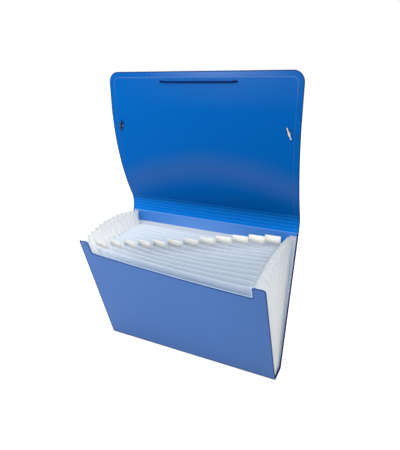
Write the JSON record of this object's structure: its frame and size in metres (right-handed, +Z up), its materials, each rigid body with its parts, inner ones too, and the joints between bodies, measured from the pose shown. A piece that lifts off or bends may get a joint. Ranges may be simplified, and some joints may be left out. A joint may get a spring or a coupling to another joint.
{
  "type": "accordion file folder",
  "caption": "Standing accordion file with a scored plastic cover that fans open over film pockets with staggered label tabs, and a long flap with an elastic closure.",
  "frame": {"origin": "centre of the base strip's underside, on the surface the file stands on", "axes": "+X to the right as seen from the front, -Y out of the front cover, +Z up"},
  "size_m": [0.33, 0.1735, 0.4852],
  "materials": {
    "cover_sheet": "fine matt grain",
    "pocket_film": "frosted film",
    "clear_film": "clear film",
    "label_paper": "plain white paper",
    "elastic": "braided over an elastic core",
    "bar_metal": "bright nickel"
  },
  "bodies": {
    "base": {"base_strip": "cover_sheet", "left_gusset": "pocket_film", "right_gusset": "pocket_film"},
    "front": {"front_cover": "cover_sheet", "front_liner": "pocket_film"},
    "back": {"back_cover": "cover_sheet", "back_liner": "pocket_film"},
    "pocket_01": {"divider_01": "pocket_film", "tab_sleeve_01": "clear_film", "label_01": "label_paper"},
    "pocket_02": {"divider_02": "pocket_film", "tab_sleeve_02": "clear_film", "label_02": "label_paper"},
    "pocket_03": {"divider_03": "pocket_film", "tab_sleeve_03": "clear_film", "label_03": "label_paper"},
    "pocket_04": {"divider_04": "pocket_film", "tab_sleeve_04": "clear_film", "label_04": "label_paper"},
    "pocket_05": {"divider_05": "pocket_film", "tab_sleeve_05": "clear_film", "label_05": "label_paper"},
    "pocket_06": {"divider_06": "pocket_film", "tab_sleeve_06": "clear_film", "label_06": "label_paper"},
    "pocket_07": {"divider_07": "pocket_film", "tab_sleeve_07": "clear_film", "label_07": "label_paper"},
    "pocket_08": {"divider_08": "pocket_film", "tab_sleeve_08": "clear_film", "label_08": "label_paper"},
    "pocket_09": {"divider_09": "pocket_film", "tab_sleeve_09": "clear_film", "label_09": "label_paper"},
    "pocket_10": {"divider_10": "pocket_film", "tab_sleeve_10": "clear_film", "label_10": "label_paper"},
    "pocket_11": {"divider_11": "pocket_film", "tab_sleeve_11": "clear_film", "label_11": "label_paper"},
    "pocket_12": {"divider_12": "pocket_film", "tab_sleeve_12": "clear_film", "label_12": "label_paper"},
    "spine": {"spine_strip_1": "cover_sheet", "spine_strip_2": "cover_sheet", "spine_strip_3": "cover_sheet", "spine_strip_4": "cover_sheet", "spine_strip_5": "cover_sheet"},
    "flap": {"flap": "cover_sheet", "elastic_cord": "elastic", "t_bar_left": "bar_metal", "t_bar_right": "bar_metal"}
  },
  "joints": [
    {"name": "front_fold", "type": "hinge", "parent": "base", "child": "front", "pos_m": [0, -0.017, 0.0004], "axis": [-1, 0, 0], "range_deg": [0, 25.7], "deforming": ["left_gusset", "right_gusset"]},
    {"name": "divider_01_swing", "type": "hinge", "parent": "base", "child": "pocket_01", "pos_m": [0, -0.01438, 0.0012], "axis": [-1, 0, 0], "range_deg": [0, 22.76]},
    {"name": "divider_02_swing", "type": "hinge", "parent": "base", "child": "pocket_02", "pos_m": [0, -0.01177, 0.0012], "axis": [-1, 0, 0], "range_deg": [0, 19.8]},
    {"name": "divider_03_swing", "type": "hinge", "parent": "base", "child": "pocket_03", "pos_m": [0, -0.00915, 0.0012], "axis": [-1, 0, 0], "range_deg": [0, 16.85]},
    {"name": "divider_04_swing", "type": "hinge", "parent": "base", "child": "pocket_04", "pos_m": [0, -0.00654, 0.0012], "axis": [-1, 0, 0], "range_deg": [0, 13.89]},
    {"name": "divider_05_swing", "type": "hinge", "parent": "base", "child": "pocket_05", "pos_m": [0, -0.00392, 0.0012], "axis": [-1, 0, 0], "range_deg": [0, 10.94]},
    {"name": "divider_06_swing", "type": "hinge", "parent": "base", "child": "pocket_06", "pos_m": [0, -0.00131, 0.0012], "axis": [-1, 0, 0], "range_deg": [0, 7.98]},
    {"name": "divider_07_swing", "type": "hinge", "parent": "base", "child": "pocket_07", "pos_m": [0, 0.00131, 0.0012], "axis": [-1, 0, 0], "range_deg": [0, 5.03]},
    {"name": "divider_08_swing", "type": "hinge", "parent": "base", "child": "pocket_08", "pos_m": [0, 0.00392, 0.0012], "axis": [-1, 0, 0], "range_deg": [0, 2.07]},
    {"name": "divider_09_swing", "type": "hinge", "parent": "base", "child": "pocket_09", "pos_m": [0, 0.00654, 0.0012], "axis": [-1, 0, 0], "range_deg": [-0.8851, 0]},
    {"name": "divider_10_swing", "type": "hinge", "parent": "base", "child": "pocket_10", "pos_m": [0, 0.00915, 0.0012], "axis": [-1, 0, 0], "range_deg": [-3.84, 0]},
    {"name": "divider_11_swing", "type": "hinge", "parent": "base", "child": "pocket_11", "pos_m": [0, 0.01177, 0.0012], "axis": [-1, 0, 0], "range_deg": [-6.8, 0]},
    {"name": "divider_12_swing", "type": "hinge", "parent": "base", "child": "pocket_12", "pos_m": [0, 0.01438, 0.0012], "axis": [-1, 0, 0], "range_deg": [-9.75, 0]},
    {"name": "back_fold", "type": "hinge", "parent": "base", "child": "back", "pos_m": [0, 0.017, 0.0004], "axis": [-1, 0, 0], "range_deg": [-12.71, 0]},
    {"name": "spine_fold", "type": "hinge", "parent": "back", "child": "spine", "pos_m": [0, 0.0691, 0.2316], "axis": [1, 0, 0], "range_deg": [0, 80.04]},
    {"name": "flap_fold", "type": "hinge", "parent": "spine", "child": "flap", "pos_m": [0, 0.06798, 0.26114], "axis": [1, 0, 0], "range_deg": [-125, 63]}
  ],
  "couplings": [
    {"joint": "divider_01_swing", "follows": "front_fold", "ratio": 0.88506},
    {"joint": "divider_02_swing", "follows": "front_fold", "ratio": 0.77013},
    {"joint": "divider_03_swing", "follows": "front_fold", "ratio": 0.65519},
    {"joint": "divider_04_swing", "follows": "front_fold", "ratio": 0.54026},
    {"joint": "divider_05_swing", "follows": "front_fold", "ratio": 0.42532},
    {"joint": "divider_06_swing", "follows": "front_fold", "ratio": 0.31039},
    {"joint": "divider_07_swing", "follows": "front_fold", "ratio": 0.19545},
    {"joint": "divider_08_swing", "follows": "front_fold", "ratio": 0.080515},
    {"joint": "divider_09_swing", "follows": "front_fold", "ratio": -0.034421},
    {"joint": "divider_10_swing", "follows": "front_fold", "ratio": -0.14936},
    {"joint": "divider_11_swing", "follows": "front_fold", "ratio": -0.26429},
    {"joint": "divider_12_swing", "follows": "front_fold", "ratio": -0.37923},
    {"joint": "back_fold", "follows": "front_fold", "ratio": -0.49416},
    {"joint": "spine_fold", "follows": "front_fold", "ratio": 3.1128}
  ]
}
